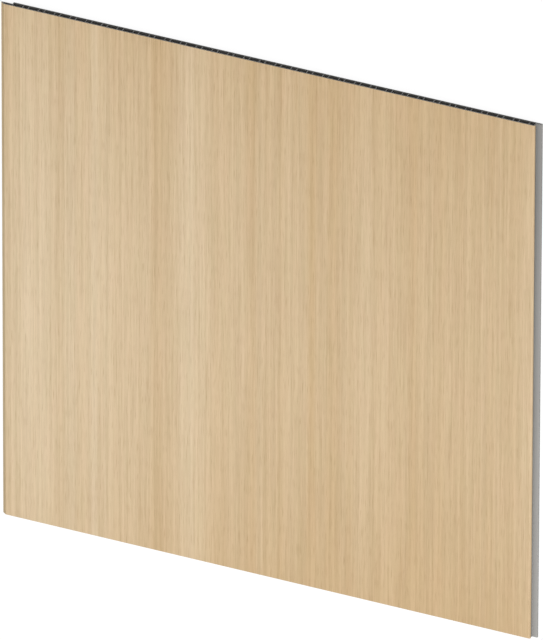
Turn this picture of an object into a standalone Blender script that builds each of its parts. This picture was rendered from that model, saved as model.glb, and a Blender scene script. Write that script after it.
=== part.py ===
"""Hollow extruded wall panel with a wood-effect film, lying on its back with the decor face up.

X runs across the panel, from the covering lip's nose to the fixing flange. Y runs along the hollow cells.
Z runs from the back face, at zero, to the decor face. The origin is under the middle of the panel.
"""

import math

import bpy
from mathutils import Vector

# Overall sizes, in metres
FACE_WIDTH = 0.600
PANEL_LENGTH = 0.626
PANEL_THICKNESS = 0.0075

# Decor film, bonded round the front of the core. It ends this far below the shoulder's rounding.
FILM_THICKNESS = 0.00025
GLUE_LINE = 0.00005
FILM_WRAP = 0.0002

# Core walls
FRONT_SKIN = 0.0011
BACK_SKIN = 0.0011
SIDE_WALL = 0.0012
RIB = 0.0010

# Hollow cells, in pairs of a wide one and a narrow one
CELL_PAIR_PITCH = 0.0178
NARROW_CELL_WIDTH = 0.0053
CELL_FILLET = 0.0005

# Covering lip, whose bevelled nose closes the joint over the neighbour's flange
LIP_REACH = 0.0124
LIP_THICKNESS = 0.0041
LIP_WALL = 0.0010
NOSE_BEVEL_WIDTH = 0.0042
NOSE_LAND = 0.0010
NOSE_CORE_RADIUS = 0.0002

# Fixing flange, which slides behind the neighbour's lip
FLANGE_REACH = 0.0060
JOINT_CLEARANCE = 0.0010
FLANGE_ROOT_FILLET = 0.0004

# Rounded edges of the core. Where the film wraps round one, its radius grows by the film's build-up.
SHOULDER_CORE_RADIUS = 0.0017
CORE_EDGE_RADIUS = 0.0004
LARGEST_ARC_SHARE = 0.98
SMALL_ARC_STEPS = 3
SHOULDER_ARC_STEPS = 6

# Levels and places that follow from the sizes above
FILM_BUILD_UP = FILM_THICKNESS + GLUE_LINE
CORE_FRONT = PANEL_THICKNESS - FILM_BUILD_UP
CORE_SHOULDER = FACE_WIDTH - FILM_BUILD_UP
LIP_BACK = PANEL_THICKNESS - LIP_THICKNESS
NOSE_BEVEL_SLOPE = (LIP_THICKNESS - NOSE_LAND) / NOSE_BEVEL_WIDTH
FLANGE_THICKNESS = LIP_BACK - JOINT_CLEARANCE
FLANGE_TIP = FACE_WIDTH + FLANGE_REACH
FILM_LOWER_EDGE = CORE_FRONT - SHOULDER_CORE_RADIUS - FILM_WRAP

CORE_COLOUR = (0.30, 0.30, 0.295, 1.0)
CORE_ROUGHNESS = 0.6
FILM_COLOUR = (0.64, 0.48, 0.30, 1.0)
FILM_ROUGHNESS = 0.45


def clear_scene():
    for obj in list(bpy.data.objects):
        bpy.data.objects.remove(obj, do_unlink=True)


def rounded_corner(to_before, corner, to_after, radius, steps, longest_cut):
    """The points of the arc that rounds a corner, from the two directions in which its sides leave it."""
    half_angle = to_before.angle(to_after) / 2
    cut = min(radius / math.tan(half_angle), longest_cut)
    radius = cut * math.tan(half_angle)
    bisector = (to_before.normalized() + to_after.normalized()).normalized()
    centre = corner + bisector * radius / math.sin(half_angle)
    start = corner + to_before.normalized() * cut - centre
    end = corner + to_after.normalized() * cut - centre
    first_angle = math.atan2(start.y, start.x)
    turn = (math.atan2(end.y, end.x) - first_angle + math.pi) % math.tau - math.pi
    angles = [first_angle + turn * step / steps for step in range(steps + 1)]
    return [centre + radius * Vector((math.cos(angle), math.sin(angle))) for angle in angles]


def rounded_outline(corners):
    """A closed outline from corners of (x, z, radius, arc steps). A radius of zero leaves the corner sharp."""
    outline = []
    for index, (x, z, radius, steps) in enumerate(corners):
        place = Vector((x, z))
        if radius == 0:
            outline.append(place)
            continue
        neighbours = corners[index - 1], corners[(index + 1) % len(corners)]
        sides = [Vector(neighbour[:2]) - place for neighbour in neighbours]
        # Where the neighbour is rounded too, the two arcs share the side between them.
        cuts = [side.length / (2 if near[2] > 0 else 1) for side, near in zip(sides, neighbours)]
        longest_cut = min(cuts) * LARGEST_ARC_SHARE
        outline += rounded_corner(sides[0], place, sides[1], radius, steps, longest_cut)
    return outline


def bevel_height(x, inset):
    """The height of the nose bevel at x, once it is moved into the panel by the inset."""
    return LIP_BACK + NOSE_LAND + NOSE_BEVEL_SLOPE * x - inset * math.hypot(1, NOSE_BEVEL_SLOPE)


def bevel_x(height, inset):
    """The x at which that moved bevel reaches a height."""
    return (height - bevel_height(0, inset)) / NOSE_BEVEL_SLOPE


def front_corners(inset, shoulder_foot):
    """The corners from the lip's back, round the nose and over the face, down to the shoulder's foot."""
    front = PANEL_THICKNESS - inset
    nose_radius = NOSE_CORE_RADIUS + FILM_BUILD_UP - inset
    shoulder_radius = SHOULDER_CORE_RADIUS + FILM_BUILD_UP - inset
    return [
        (inset, LIP_BACK, 0, 0),
        (inset, bevel_height(inset, inset), nose_radius, SMALL_ARC_STEPS),
        (bevel_x(front, inset), front, nose_radius, SMALL_ARC_STEPS),
        (FACE_WIDTH - inset, front, shoulder_radius, SHOULDER_ARC_STEPS),
        (FACE_WIDTH - inset, shoulder_foot, 0, 0),
    ]


def core_outline():
    """The outside of the extrusion: lip, front skin, shoulder, flange, back skin and the wall behind the lip."""
    edge = (CORE_EDGE_RADIUS, SMALL_ARC_STEPS)
    front = front_corners(FILM_BUILD_UP, FLANGE_THICKNESS)
    front[-1] = (CORE_SHOULDER, FLANGE_THICKNESS, FLANGE_ROOT_FILLET, SMALL_ARC_STEPS)
    behind = [
        (FLANGE_TIP, FLANGE_THICKNESS, *edge),
        (FLANGE_TIP, 0, *edge),
        (LIP_REACH, 0, *edge),
        (LIP_REACH, LIP_BACK, *edge),
    ]
    return rounded_outline(front + behind)


def cell(left, right, low, high, low_left=None):
    """One hollow cell with filleted corners. low_left moves its lower left corner, for a slanted side."""
    fillet = (CELL_FILLET, SMALL_ARC_STEPS)
    low_left = left if low_left is None else low_left
    return rounded_outline(
        [
            (low_left, low, *fillet),
            (left, high, *fillet),
            (right, high, *fillet),
            (right, low, *fillet),
        ]
    )


def body_cells():
    """Wide and narrow cells in turn, from the wall behind the lip to the shoulder's wall."""
    low = BACK_SKIN
    high = CORE_FRONT - FRONT_SKIN
    first = LIP_REACH + SIDE_WALL
    last = CORE_SHOULDER - SIDE_WALL
    pairs = max(1, round((last - first + RIB) / CELL_PAIR_PITCH))
    pitch = (last - first + RIB) / pairs
    cells = []
    for pair in range(pairs):
        wide_left = first + pair * pitch
        narrow_right = wide_left + pitch - RIB
        narrow_left = narrow_right - NARROW_CELL_WIDTH
        cells.append(cell(wide_left, narrow_left - RIB, low, high))
        cells.append(cell(narrow_left, narrow_right, low, high))
    return cells


def lip_cell():
    """The flat cell inside the lip, with one side parallel to the nose bevel."""
    low = LIP_BACK + LIP_WALL
    high = CORE_FRONT - LIP_WALL
    inset = FILM_BUILD_UP + LIP_WALL
    high_left = max(inset, bevel_x(high, inset))
    low_left = max(inset, bevel_x(low, inset))
    return cell(high_left, LIP_REACH, low, high, low_left)


def film_outline():
    """The film's two faces, joined at the lip's back and at the foot of the shoulder."""
    outside = front_corners(0, FILM_LOWER_EDGE)
    inside = front_corners(FILM_THICKNESS, FILM_LOWER_EDGE)
    return rounded_outline(outside + inside[::-1])


def make_material(name, colour, roughness):
    material = bpy.data.materials.new(name)
    material.use_nodes = True
    shader = material.node_tree.nodes["Principled BSDF"]
    shader.inputs["Base Color"].default_value = colour
    shader.inputs["Roughness"].default_value = roughness
    shader.inputs["Metallic"].default_value = 0.0
    return material


def extruded_piece(name, outlines, material, collection):
    """A solid with one section along Y: the first outline is its outside and the others are its hollows."""
    middle = FLANGE_TIP / 2
    curve = bpy.data.curves.new(name, "CURVE")
    curve.dimensions = "2D"
    curve.fill_mode = "BOTH"
    curve.extrude = PANEL_LENGTH / 2
    for outline in outlines:
        spline = curve.splines.new("POLY")
        spline.points.add(len(outline) - 1)
        for point, place in zip(spline.points, outline):
            point.co = (place.x - middle, place.y, 0, 1)
        spline.use_cyclic_u = True
    curve.materials.append(material)
    piece = bpy.data.objects.new(name, curve)
    piece.rotation_euler.x = math.pi / 2
    collection.objects.link(piece)


def build():
    clear_scene()
    collection = bpy.data.collections.new("decorative_wall_panel")
    bpy.context.scene.collection.children.link(collection)
    core_material = make_material("extruded_core_grey", CORE_COLOUR, CORE_ROUGHNESS)
    film_material = make_material("oak_effect_film", FILM_COLOUR, FILM_ROUGHNESS)
    core_section = [core_outline(), *body_cells(), lip_cell()]
    extruded_piece("hollow_core", core_section, core_material, collection)
    extruded_piece("decor_film", [film_outline()], film_material, collection)


build()
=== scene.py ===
"""Looks, light and camera for the hollow wall panel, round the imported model. Sizes are in metres."""

import math

import bpy
from mathutils import Matrix, Vector


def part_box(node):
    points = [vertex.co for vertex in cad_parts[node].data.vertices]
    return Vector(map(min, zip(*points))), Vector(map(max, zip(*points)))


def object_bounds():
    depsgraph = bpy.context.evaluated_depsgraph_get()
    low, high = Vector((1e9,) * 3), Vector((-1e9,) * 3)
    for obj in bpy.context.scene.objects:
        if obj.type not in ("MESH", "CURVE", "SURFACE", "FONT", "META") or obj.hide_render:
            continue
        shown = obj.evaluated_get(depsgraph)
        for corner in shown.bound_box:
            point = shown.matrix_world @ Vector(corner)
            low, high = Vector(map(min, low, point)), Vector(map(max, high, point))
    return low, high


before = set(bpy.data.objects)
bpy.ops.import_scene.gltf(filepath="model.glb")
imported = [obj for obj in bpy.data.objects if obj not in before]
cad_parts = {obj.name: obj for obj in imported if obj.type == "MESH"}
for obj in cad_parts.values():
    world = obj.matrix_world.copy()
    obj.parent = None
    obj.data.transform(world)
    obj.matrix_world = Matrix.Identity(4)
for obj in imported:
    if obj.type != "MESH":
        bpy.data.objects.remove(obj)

CAD_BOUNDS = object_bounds()

# Camera. Its angles are measured from the decor face, and the long lens stands for a parallel view.
CAMERA_AZIMUTH = math.radians(23.427)
CAMERA_ELEVATION = math.radians(32.215)
CAMERA_ROLL = math.radians(0.150)
CAMERA_TARGET = Vector((0.00190, 0.00129, 0.00375))
CAMERA_DISTANCE = 26.506
CAMERA_LENS = 1440
CAMERA_SENSOR = 36
CLIP_MARGIN = 10

# Light. The dome is dim at the horizon, and the tilt makes it brighter towards +X and -Y.
# With the key lamp it lights the face to about 1.
DOME_HORIZON = 0.05
DOME_ZENITH = 1.44
DOME_TILT = (0.45, -0.85, 0.0)
BACKGROUND = 1.0
KEY_PLACE = Vector((2.20, -3.75, 2.85))
KEY_SIZE = 2.2
KEY_POWER = 140

# Floor. Where it is seen it glows, and a small share of lit white keeps the panel's shadow. Far from the
# panel its glow is full. The light that it throws back is that of a darker grey.
FLOOR_SIZE = 60
FLOOR_DROP = 0.0001
FLOOR_GLOW = 0.92
FLOOR_SHADOW_SHARE = 0.12
FLOOR_PLAIN_FROM = 0.7
FLOOR_PLAIN_BEYOND = 1.3
FLOOR_BOUNCE = 0.25

# Oak film, in linear colour. Its tones run over a range from the golden colour to the pale one.
OAK_GOLDEN = (0.582, 0.417, 0.237)
OAK_PALE = (0.716, 0.573, 0.390)
OAK_TONE_RANGE = 1.56
# How much paler the left edge is than the right part, partly the wood's own tone and partly painted sheen,
# and the share of the width over which that fades
OAK_TONE_AND_SHEEN_DRIFT = 0.56
OAK_TONE_AND_SHEEN_DRIFT_END = 0.75
# The wood is palest at this place along the grain, and this much warmer half a panel away from it
OAK_PALEST = 0.025
OAK_WARMER_ENDS = 0.45
# Partly the wood's own tone and partly painted sheen: the left part is this much paler at the -Y end than
# in the middle, and as much darker at the +Y end.
# It is whole up to the first of two shares of the width, and ends at the second.
OAK_LEFT_TONE_AND_SHEEN = 0.22
OAK_LEFT_FULL_TO = 0.15
OAK_LEFT_ENDS = 0.42
# Each figure in the veneer: its middle across the panel, its half width, and how much paler it is
OAK_FIGURES = (
    (-0.268, 0.034, 0.33),
    (-0.223, 0.010, 0.31),
    (-0.196, 0.009, 0.48),
    (-0.126, 0.011, -0.48),
    (-0.086, 0.028, 0.48),
    (-0.020, 0.010, -0.31),
    (0.050, 0.008, -0.48),
    (0.071, 0.010, -0.23),
    (0.110, 0.018, 0.22),
    (0.162, 0.015, -0.18),
)
# Right of the last figure, up to the edge: a place across the panel, and how much paler the wood is there
OAK_RIGHT_PART = ((0.195, -0.10), (0.303, 0.14))

# Noise. Each layer is a streak width, a streak length and the seed that places its streaks.
# In the two grains, the layer's strength follows.
NOISE_DETAIL = 1.0
OAK_BROAD_GRAIN = (
    (0.022, 3.0, 15.4, 0.17),
    (0.010, 3.0, 142.3, 0.31),
    (0.009, 0.25, 13.3, 0.13),
)
OAK_FINE_GRAIN = (
    (0.0045, 3.0, 328.3, 0.88),
    (0.0022, 3.0, 66.7, 0.46),
    (0.0011, 3.0, 33.7, 0.14),
    (0.0042, 0.180, 34.7, 0.62),
    (0.0021, 0.120, 35.7, 0.68),
    (0.0011, 0.060, 36.7, 0.60),
)
DARK_GRAIN = (0.934, 0.928, 0.912)
LIGHT_GRAIN = (1.067, 1.073, 1.089)
# The grain wanders this far to either side
WANDER = (0.12, 0.45, 3.1)
WANDER_REACH = 0.0012
# Faint blotches, from straw-coloured to rosy
BLOTCHES = (0.014, 0.060, 50.2)
STRAW_TINT = (0.993, 1.003, 0.987)
ROSY_TINT = (1.010, 0.995, 1.000)
# Dark flecks and open pores. Each sets in as its noise goes from the first value to the second.
FLECKS = (0.0010, 0.050, 60.4)
FLECK_RISE = (0.22, 0.44)
FLECK_TINT = (0.925, 0.905, 0.880)
PORES = (0.0004, 0.020, 70.9)
PORE_RISE = (0.18, 0.36)
PORE_TINT = (0.870, 0.840, 0.800)
# Painted shade: the nose bevel is painted darker and more golden. That sets in as its normal's X goes from
# the first value to the second.
BEVEL_PAINTED_SHADE = (0.975, 0.960, 0.870)
BEVEL_PAINTED_SHADE_RISE = (-0.2, -0.5)
FILM_CUT = (0.62, 0.56, 0.47)
# The film's finish: light grain is smoother and pores are rougher by these amounts
FILM_ROUGHNESS = 0.48
FILM_SMOOTHER_GRAIN = 0.08
FILM_ROUGHER_PORES = 0.12
FILM_GLOSS = 0.12
FILM_RELIEF = 0.00004

# Grey core, in linear colour
CORE_GREY = (0.291, 0.284, 0.271)
# Sawn ends are paler, partly as sawn plastic is and partly as painted light on the dim ends
CUT_GREY_WITH_PAINTED_LIGHT = (0.560, 0.557, 0.548)
# Painted shade: how much darker the grey is painted at the +Y end, and the places along Y between which it
# darkens
CORE_PAINTED_SHADE = 0.22
CORE_PLAIN_TO = -0.25
CORE_DARK_FROM = 0.38
# Painted shade by the shoulder: how much paler the flange is painted at its tip than at the shoulder
FLANGE_PAINTED_SHOULDER_SHADE = 0.16
# Die lines and faint clouds all over the core, how much they change its grey, and marks on its sawn ends
DIE_LINES = (0.0007, 2.0, 5.5)
CLOUDS = (0.03, 0.2, 8.2)
CORE_MOTTLE = 0.07
SAW_MARKS = (0.0004, 0.006, 11.6)
# The core's finish: clouds and sawn ends are rougher by these amounts
CORE_ROUGHNESS = 0.52
CORE_ROUGHER_CLOUDS = 0.06
CORE_ROUGHER_CUT = 0.2
CORE_GLOSS = 0.5
CORE_RELIEF = 0.00003

# A face whose normal leans further than this along Y is a sawn end
CUT_LEAN = 0.7
# A colour ramp holds nothing below 0 or above 1, so this grey in it stands for a tone of zero
RAMP_ZERO = 0.5
# The Mix node has sockets of the same name for numbers and for colours, so these go by their place
NUMBER_A, NUMBER_B = 2, 3
COLOUR_A, COLOUR_B, COLOUR_OUT = 6, 7, 2


class Graph:
    """Adds the nodes of one material or world, a line for each."""

    def __init__(self, tree):
        self.tree = tree
        tree.nodes.clear()

    def add(self, kind, inputs=(), **settings):
        node = self.tree.nodes.new("ShaderNode" + kind)
        for name, value in settings.items():
            setattr(node, name, value)
        for socket, value in dict(inputs).items():
            self.feed(node.inputs[socket], value)
        return node

    def feed(self, socket, value):
        """Links another node's socket to this one, or else sets its number or colour."""
        if isinstance(value, bpy.types.NodeSocket):
            self.tree.links.new(value, socket)
        else:
            socket.default_value = value

    def math(self, operation, *values, clamp=False):
        node = self.add("Math", dict(enumerate(values)), operation=operation, use_clamp=clamp)
        return node.outputs[0]

    def rise(self, value, low, high):
        """From 0 at the low value to 1 at the high one, smoothly."""
        limits = {"Value": value, "From Min": low, "From Max": high}
        return self.add("MapRange", limits, interpolation_type="SMOOTHSTEP").outputs[0]

    def share(self, tone, tone_range=1.0):
        """From 0 to 1 over a range of tones, whose middle is zero."""
        return self.math("MULTIPLY_ADD", tone, 1 / tone_range, 0.5, clamp=True)

    def mix(self, share, first, second, blend="MIX"):
        """From the first colour to the second one, as the share goes from 0 to 1."""
        node = self.add("Mix", {"Factor": share}, data_type="RGBA", blend_type=blend)
        for socket, colour in ((COLOUR_A, first), (COLOUR_B, second)):
            self.feed(node.inputs[socket], (*colour, 1) if isinstance(colour, tuple) else colour)
        return node.outputs[COLOUR_OUT]

    def tint(self, colour, tint, share=1.0):
        """From the colour to the colour times the tint, as the share goes from 0 to 1."""
        return self.mix(share, colour, tint, "MULTIPLY")

    def brighten(self, colour, factor):
        return self.add("VectorMath", {"Vector": colour, "Scale": factor}, operation="SCALE").outputs[0]

    def streaks(self, across, along, width, length, seed):
        """Soft noise drawn out along the grain, about 0 in the middle. Each seed is another piece of it."""
        x = self.math("DIVIDE", across, width)
        y = self.math("DIVIDE", along, length)
        place = self.add("CombineXYZ", {"X": x, "Y": y, "Z": seed})
        noise = self.add("TexNoise", {"Vector": place.outputs[0], "Scale": 1.0, "Detail": NOISE_DETAIL})
        return self.math("MULTIPLY_ADD", noise.outputs["Fac"], 2.0, -1.0)

    def grain(self, across, along, layers):
        """The sum of several layers of streaks, each times its strength."""
        total = 0.0
        for width, length, seed, strength in layers:
            layer = self.streaks(across, along, width, length, seed)
            total = self.math("MULTIPLY_ADD", layer, strength, total)
        return total

    def surface(self):
        """The X, Y and Z of a point on the panel, and those of its normal."""
        coordinates = self.add("TexCoord").outputs
        place = self.add("SeparateXYZ", {"Vector": coordinates["Object"]})
        normal = self.add("SeparateXYZ", {"Vector": coordinates["Normal"]})
        return place.outputs, normal.outputs

    def cut_ends(self, normal):
        """1 on the panel's two sawn ends, and 0 elsewhere."""
        return self.math("GREATER_THAN", self.math("ABSOLUTE", normal["Y"]), CUT_LEAN)


def grey(level):
    return (level, level, level, 1)


def new_material(name):
    material = bpy.data.materials.new(name)
    material.use_nodes = True
    return material, Graph(material.node_tree)


def finish_plastic(graph, colour, roughness, gloss, height, relief):
    """The shader of a plastic surface. Its fine relief is as deep as the height times the relief."""
    bump = graph.add("Bump", {"Strength": 1.0, "Distance": relief, "Height": height})
    surface = {"Base Color": colour, "Roughness": roughness, "Normal": bump.outputs[0]}
    shader = graph.add("BsdfPrincipled", surface)
    shader.inputs["Specular IOR Level"].default_value = gloss
    graph.add("OutputMaterial", {"Surface": shader.outputs[0]})


def veneer_figures(graph, width_share, left, width):
    """The tone of the veneer's broad light and dark bands, by the share of the panel's width."""
    stops = list(OAK_RIGHT_PART)
    for middle, half_width, paleness in OAK_FIGURES:
        stops += [(middle - half_width, 0.0), (middle, paleness), (middle + half_width, 0.0)]
    ramp = graph.add("ValToRGB", {"Fac": width_share})
    ramp.color_ramp.interpolation = "EASE"
    # A new ramp has two stops, and the first of them is used.
    elements = ramp.color_ramp.elements
    elements.remove(elements[-1])
    for index, (place, tone) in enumerate(sorted(stops)):
        position = (place - left) / width
        stop = elements[0] if index == 0 else elements.new(position)
        stop.position = position
        stop.color = grey(RAMP_ZERO + tone)
    return graph.math("SUBTRACT", ramp.outputs["Color"], RAMP_ZERO)


def veneer_tone_and_sheen(graph, across, along):
    """The veneer's bands, and drifts from pale to golden across the panel and along it, partly the wood's
    own tone and partly painted sheen.
    """
    left = CAD_BOUNDS[0].x
    width = CAD_BOUNDS[1].x - left
    half_length = CAD_BOUNDS[1].y
    width_share = graph.math("DIVIDE", graph.math("SUBTRACT", across, left), width)
    tone = graph.math("ADD", veneer_figures(graph, width_share, left, width), OAK_TONE_AND_SHEEN_DRIFT / 2)
    # The drift across and the left part's fade along are partly the wood's own tone and partly painted
    # sheen.
    tone_and_sheen_drift = graph.rise(width_share, 0.0, OAK_TONE_AND_SHEEN_DRIFT_END)
    tone = graph.math("MULTIPLY_ADD", tone_and_sheen_drift, -OAK_TONE_AND_SHEEN_DRIFT, tone)
    offset = graph.math("DIVIDE", graph.math("SUBTRACT", along, OAK_PALEST), half_length)
    tone = graph.math("MULTIPLY_ADD", graph.math("MULTIPLY", offset, offset), -OAK_WARMER_ENDS, tone)
    left_part = graph.rise(width_share, OAK_LEFT_ENDS, OAK_LEFT_FULL_TO)
    left_tone_and_sheen = graph.math("MULTIPLY", graph.math("DIVIDE", along, half_length), left_part)
    return graph.math("MULTIPLY_ADD", left_tone_and_sheen, -OAK_LEFT_TONE_AND_SHEEN, tone)


def oak_film():
    """Light rift-cut oak on a satin film: straight fine grain along the panel, with flecks and pores."""
    material, graph = new_material("oak_effect_film")
    (x, y, z), normal = graph.surface()
    # The grain goes on round both edges, as the film does.
    below_face = graph.math("SUBTRACT", CAD_BOUNDS[1].z, z)
    flat = graph.math("MULTIPLY_ADD", graph.math("SIGN", x), below_face, x)
    wander = graph.streaks(flat, y, *WANDER)
    across = graph.math("MULTIPLY_ADD", wander, WANDER_REACH, flat)

    broad_grain = graph.grain(across, y, OAK_BROAD_GRAIN)
    tone = graph.math("ADD", veneer_tone_and_sheen(graph, across, y), broad_grain)
    colour = graph.mix(graph.share(tone, OAK_TONE_RANGE), OAK_GOLDEN, OAK_PALE)
    grain = graph.share(graph.grain(across, y, OAK_FINE_GRAIN))
    colour = graph.tint(colour, graph.mix(grain, DARK_GRAIN, LIGHT_GRAIN))
    blotch = graph.share(graph.streaks(across, y, *BLOTCHES))
    colour = graph.tint(colour, graph.mix(blotch, STRAW_TINT, ROSY_TINT))
    fleck = graph.rise(graph.streaks(across, y, *FLECKS), *FLECK_RISE)
    colour = graph.tint(colour, FLECK_TINT, fleck)
    pore = graph.rise(graph.streaks(across, y, *PORES), *PORE_RISE)
    colour = graph.tint(colour, PORE_TINT, pore)
    # Painted shade: the nose bevel, which faces -X, is painted darker and more golden.
    colour = graph.tint(colour, BEVEL_PAINTED_SHADE, graph.rise(normal["X"], *BEVEL_PAINTED_SHADE_RISE))
    colour = graph.mix(graph.cut_ends(normal), colour, FILM_CUT)

    height = graph.math("SUBTRACT", grain, graph.math("ADD", pore, fleck))
    roughness = graph.math("MULTIPLY_ADD", grain, -FILM_SMOOTHER_GRAIN, FILM_ROUGHNESS)
    roughness = graph.math("MULTIPLY_ADD", pore, FILM_ROUGHER_PORES, roughness)
    finish_plastic(graph, colour, roughness, FILM_GLOSS, height, FILM_RELIEF)
    return material


def core_plastic():
    """Grey extruded plastic: fine die lines along the panel, and saw marks on its cut ends."""
    material, graph = new_material("extruded_core_grey")
    (x, y, z), normal = graph.surface()
    cut = graph.cut_ends(normal)
    flat = graph.math("ADD", x, z)
    die_lines = graph.streaks(flat, y, *DIE_LINES)
    clouds = graph.streaks(flat, y, *CLOUDS)
    saw_marks = graph.streaks(graph.math("ADD", flat, z), z, *SAW_MARKS)

    # Painted shade: the grey is painted darker towards the +Y end.
    shade_share = graph.rise(y, CORE_PLAIN_TO, CORE_DARK_FROM)
    # Painted shade: the flange is painted darker by the shoulder and paler towards its tip.
    along_flange = graph.rise(x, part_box("decor_film")[1].x, CAD_BOUNDS[1].x)
    painted_shade_factor = graph.math("MULTIPLY_ADD", shade_share, -CORE_PAINTED_SHADE, 1.0)
    painted_shoulder_shade_factor = graph.math("MULTIPLY_ADD", along_flange, FLANGE_PAINTED_SHOULDER_SHADE, 1.0)
    outside_with_painted_shade = graph.brighten(CORE_GREY, graph.math("MULTIPLY", painted_shade_factor, painted_shoulder_shade_factor))
    mottle = graph.math("MULTIPLY_ADD", graph.math("ADD", die_lines, clouds), CORE_MOTTLE, 1.0)
    # The sawn ends' paler grey is partly their own and partly painted light.
    colour = graph.brighten(graph.mix(cut, outside_with_painted_shade, CUT_GREY_WITH_PAINTED_LIGHT), mottle)

    heights = {"Factor": cut, NUMBER_A: die_lines, NUMBER_B: saw_marks}
    height = graph.add("Mix", heights, data_type="FLOAT").outputs[0]
    roughness = graph.math("MULTIPLY_ADD", clouds, CORE_ROUGHER_CLOUDS, CORE_ROUGHNESS)
    roughness = graph.math("MULTIPLY_ADD", cut, CORE_ROUGHER_CUT, roughness)
    finish_plastic(graph, colour, roughness, CORE_GLOSS, height, CORE_RELIEF)
    return material


def seen_directly(graph):
    """1 for rays that come from the camera, a reflection or clear glass."""
    light_path = graph.add("LightPath")
    camera, glossy, transmission = (
        light_path.outputs[name] for name in ("Is Camera Ray", "Is Glossy Ray", "Is Transmission Ray")
    )
    return graph.math("MAXIMUM", graph.math("MAXIMUM", camera, glossy), transmission)


def floor_white():
    """White where it is seen, with the object's faint shadow, and grey for the light it throws back."""
    material, graph = new_material("studio_floor")
    place = graph.add("TexCoord").outputs["Object"]
    distance = graph.add("VectorMath", {"Vector": place}, operation="LENGTH").outputs["Value"]
    plain = graph.rise(distance, FLOOR_PLAIN_FROM, FLOOR_PLAIN_BEYOND)
    glow_strength = graph.math("MULTIPLY_ADD", plain, 1 - FLOOR_GLOW, FLOOR_GLOW)
    glow = graph.add("Emission", {"Strength": glow_strength})
    shadowed = graph.add("BsdfDiffuse", {"Color": grey(FLOOR_SHADOW_SHARE)})
    shown = graph.add("AddShader", {0: glow.outputs[0], 1: shadowed.outputs[0]})
    bounce = graph.add("BsdfDiffuse", {"Color": grey(FLOOR_BOUNCE)})
    surface = graph.add("MixShader", {0: seen_directly(graph), 1: bounce.outputs[0], 2: shown.outputs[0]})
    graph.add("OutputMaterial", {"Surface": surface.outputs[0]})
    return material


def make_floor():
    half = FLOOR_SIZE / 2
    level = CAD_BOUNDS[0].z - FLOOR_DROP
    corners = [(-half, -half, level), (half, -half, level), (half, half, level), (-half, half, level)]
    mesh = bpy.data.meshes.new("studio_floor")
    mesh.from_pydata(corners, [], [(0, 1, 2, 3)])
    mesh.materials.append(floor_white())
    floor = bpy.data.objects.new("studio_floor", mesh)
    bpy.context.scene.collection.objects.link(floor)


def make_world():
    """A soft dome for light, and plain white wherever it is seen."""
    world = bpy.data.worlds.new("studio_dome")
    world.use_nodes = True
    bpy.context.scene.world = world
    graph = Graph(world.node_tree)
    direction = graph.add("TexCoord").outputs["Generated"]
    parts = graph.add("SeparateXYZ", {"Vector": direction}).outputs
    height = graph.math("MAXIMUM", parts["Z"], 0.0)
    squared = graph.math("MULTIPLY", height, height)
    lean = graph.add("VectorMath", {0: direction, 1: DOME_TILT}, operation="DOT_PRODUCT")
    tilt = graph.math("ADD", lean.outputs["Value"], 1.0)
    light = graph.math("MULTIPLY_ADD", graph.math("MULTIPLY", squared, tilt), DOME_ZENITH, DOME_HORIZON)
    dome = graph.add("Background", {"Color": grey(1), "Strength": light})
    white = graph.add("Background", {"Color": grey(1), "Strength": BACKGROUND})
    surface = graph.add("MixShader", {0: seen_directly(graph), 1: dome.outputs[0], 2: white.outputs[0]})
    graph.add("OutputWorld", {"Surface": surface.outputs[0]})


def make_key_lamp():
    """A round softbox that points at the panel."""
    lamp = bpy.data.lights.new("key_softbox", "AREA")
    lamp.shape = "DISK"
    lamp.size = KEY_SIZE
    lamp.energy = KEY_POWER
    softbox = bpy.data.objects.new("key_softbox", lamp)
    softbox.location = KEY_PLACE
    softbox.rotation_euler = KEY_PLACE.to_track_quat("Z", "Y").to_euler()
    bpy.context.scene.collection.objects.link(softbox)


def make_camera():
    backward = Vector(
        (
            math.sin(CAMERA_AZIMUTH) * math.cos(CAMERA_ELEVATION),
            math.sin(CAMERA_ELEVATION),
            math.cos(CAMERA_AZIMUTH) * math.cos(CAMERA_ELEVATION),
        )
    )
    right = Vector((math.cos(CAMERA_AZIMUTH), 0, -math.sin(CAMERA_AZIMUTH)))
    axes = Matrix((right, backward.cross(right), backward)).transposed()
    turned = Matrix.Rotation(CAMERA_ROLL, 3, backward) @ axes
    lens = bpy.data.cameras.new("camera")
    lens.lens = CAMERA_LENS
    lens.sensor_width = CAMERA_SENSOR
    lens.clip_start = CAMERA_DISTANCE - CLIP_MARGIN
    lens.clip_end = CAMERA_DISTANCE + CLIP_MARGIN
    camera = bpy.data.objects.new("camera", lens)
    camera.matrix_world = Matrix.Translation(CAMERA_TARGET + CAMERA_DISTANCE * backward) @ turned.to_4x4()
    bpy.context.scene.collection.objects.link(camera)
    bpy.context.scene.camera = camera


make_camera()
make_world()
make_floor()
make_key_lamp()
bpy.context.scene.view_settings.view_transform = "Standard"
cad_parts["decor_film"].data.materials[0] = oak_film()
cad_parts["hollow_core"].data.materials[0] = core_plastic()
